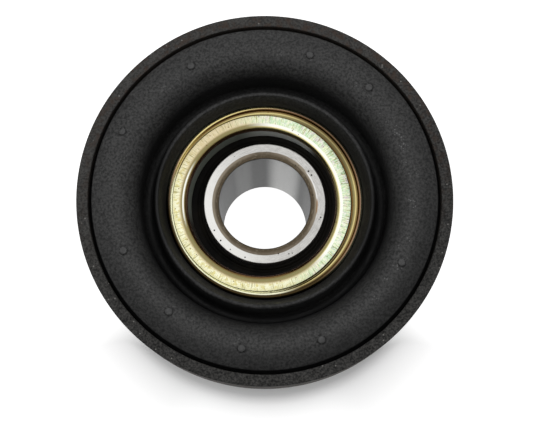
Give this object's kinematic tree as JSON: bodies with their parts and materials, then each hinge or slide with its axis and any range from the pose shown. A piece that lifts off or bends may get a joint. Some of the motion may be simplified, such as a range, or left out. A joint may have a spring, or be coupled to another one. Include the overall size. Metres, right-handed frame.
{
  "type": "driveshaft centre bearing",
  "caption": "Round driveshaft centre bearing: long-race ball bearing in a zinc-passivated shell, carried by a moulded rubber cushion inside a plain steel band.",
  "frame": {"origin": "on the bearing axis at the rear end face of the inner race, which the part stands on", "axes": "+Z along the bearing axis towards the front, where the race face and the zinc cover show; +X and +Y across the bearing"},
  "size_m": [0.12, 0.12, 0.0647],
  "materials": {
    "band_steel": "black, dull, rough sheared edge with a little rust bloom",
    "rubber": "matt moulded black",
    "zinc_passivated": "bright yellow passivated zinc with green and pink interference tints",
    "seal_rubber": "smooth black",
    "ground_steel": "ground bright, with a few dark pits and a brown unground band at the bore",
    "ball_steel": "polished",
    "cage_steel": "pressed sheet"
  },
  "bodies": {
    "housing": {"outer_ring": "band_steel", "rubber_cushion": "rubber", "bearing_shell": "zinc_passivated", "front_cover": "zinc_passivated", "front_seal": "seal_rubber", "rear_seal": "seal_rubber", "outer_race": "ground_steel"},
    "inner_race": {"inner_race": "ground_steel"},
    "cage": {"cage_front": "cage_steel", "cage_rear": "cage_steel", "rivet_1": "cage_steel", "rivet_2": "cage_steel", "rivet_3": "cage_steel", "rivet_4": "cage_steel", "rivet_5": "cage_steel", "rivet_6": "cage_steel", "rivet_7": "cage_steel", "rivet_8": "cage_steel", "rivet_9": "cage_steel"},
    "ball_1": {"ball_1": "ball_steel"},
    "ball_2": {"ball_2": "ball_steel"},
    "ball_3": {"ball_3": "ball_steel"},
    "ball_4": {"ball_4": "ball_steel"},
    "ball_5": {"ball_5": "ball_steel"},
    "ball_6": {"ball_6": "ball_steel"},
    "ball_7": {"ball_7": "ball_steel"},
    "ball_8": {"ball_8": "ball_steel"},
    "ball_9": {"ball_9": "ball_steel"}
  },
  "joints": [
    {"name": "race_spin", "type": "hinge", "parent": "housing", "child": "inner_race", "pos_m": [0, 0, 0.0367], "axis": [0, 0, 1], "continuous": true},
    {"name": "cage_spin", "type": "hinge", "parent": "housing", "child": "cage", "pos_m": [0, 0, 0.0367], "axis": [0, 0, 1], "continuous": true},
    {"name": "ball_1_roll", "type": "hinge", "parent": "cage", "child": "ball_1", "pos_m": [0.023, 0, 0.0367], "axis": [0, 0, 1], "continuous": true},
    {"name": "ball_2_roll", "type": "hinge", "parent": "cage", "child": "ball_2", "pos_m": [0.01762, 0.01478, 0.0367], "axis": [0, 0, 1], "continuous": true},
    {"name": "ball_3_roll", "type": "hinge", "parent": "cage", "child": "ball_3", "pos_m": [0.00399, 0.02265, 0.0367], "axis": [0, 0, 1], "continuous": true},
    {"name": "ball_4_roll", "type": "hinge", "parent": "cage", "child": "ball_4", "pos_m": [-0.0115, 0.01992, 0.0367], "axis": [0, 0, 1], "continuous": true},
    {"name": "ball_5_roll", "type": "hinge", "parent": "cage", "child": "ball_5", "pos_m": [-0.02161, 0.00787, 0.0367], "axis": [0, 0, 1], "continuous": true},
    {"name": "ball_6_roll", "type": "hinge", "parent": "cage", "child": "ball_6", "pos_m": [-0.02161, -0.00787, 0.0367], "axis": [0, 0, 1], "continuous": true},
    {"name": "ball_7_roll", "type": "hinge", "parent": "cage", "child": "ball_7", "pos_m": [-0.0115, -0.01992, 0.0367], "axis": [0, 0, 1], "continuous": true},
    {"name": "ball_8_roll", "type": "hinge", "parent": "cage", "child": "ball_8", "pos_m": [0.00399, -0.02265, 0.0367], "axis": [0, 0, 1], "continuous": true},
    {"name": "ball_9_roll", "type": "hinge", "parent": "cage", "child": "ball_9", "pos_m": [0.01762, -0.01478, 0.0367], "axis": [0, 0, 1], "continuous": true}
  ],
  "couplings": [
    {"joint": "cage_spin", "follows": "race_spin", "ratio": 0.39647},
    {"joint": "ball_1_roll", "follows": "race_spin", "ratio": -2.3112},
    {"joint": "ball_2_roll", "follows": "race_spin", "ratio": -2.3112},
    {"joint": "ball_3_roll", "follows": "race_spin", "ratio": -2.3112},
    {"joint": "ball_4_roll", "follows": "race_spin", "ratio": -2.3112},
    {"joint": "ball_5_roll", "follows": "race_spin", "ratio": -2.3112},
    {"joint": "ball_6_roll", "follows": "race_spin", "ratio": -2.3112},
    {"joint": "ball_7_roll", "follows": "race_spin", "ratio": -2.3112},
    {"joint": "ball_8_roll", "follows": "race_spin", "ratio": -2.3112},
    {"joint": "ball_9_roll", "follows": "race_spin", "ratio": -2.3112}
  ]
}
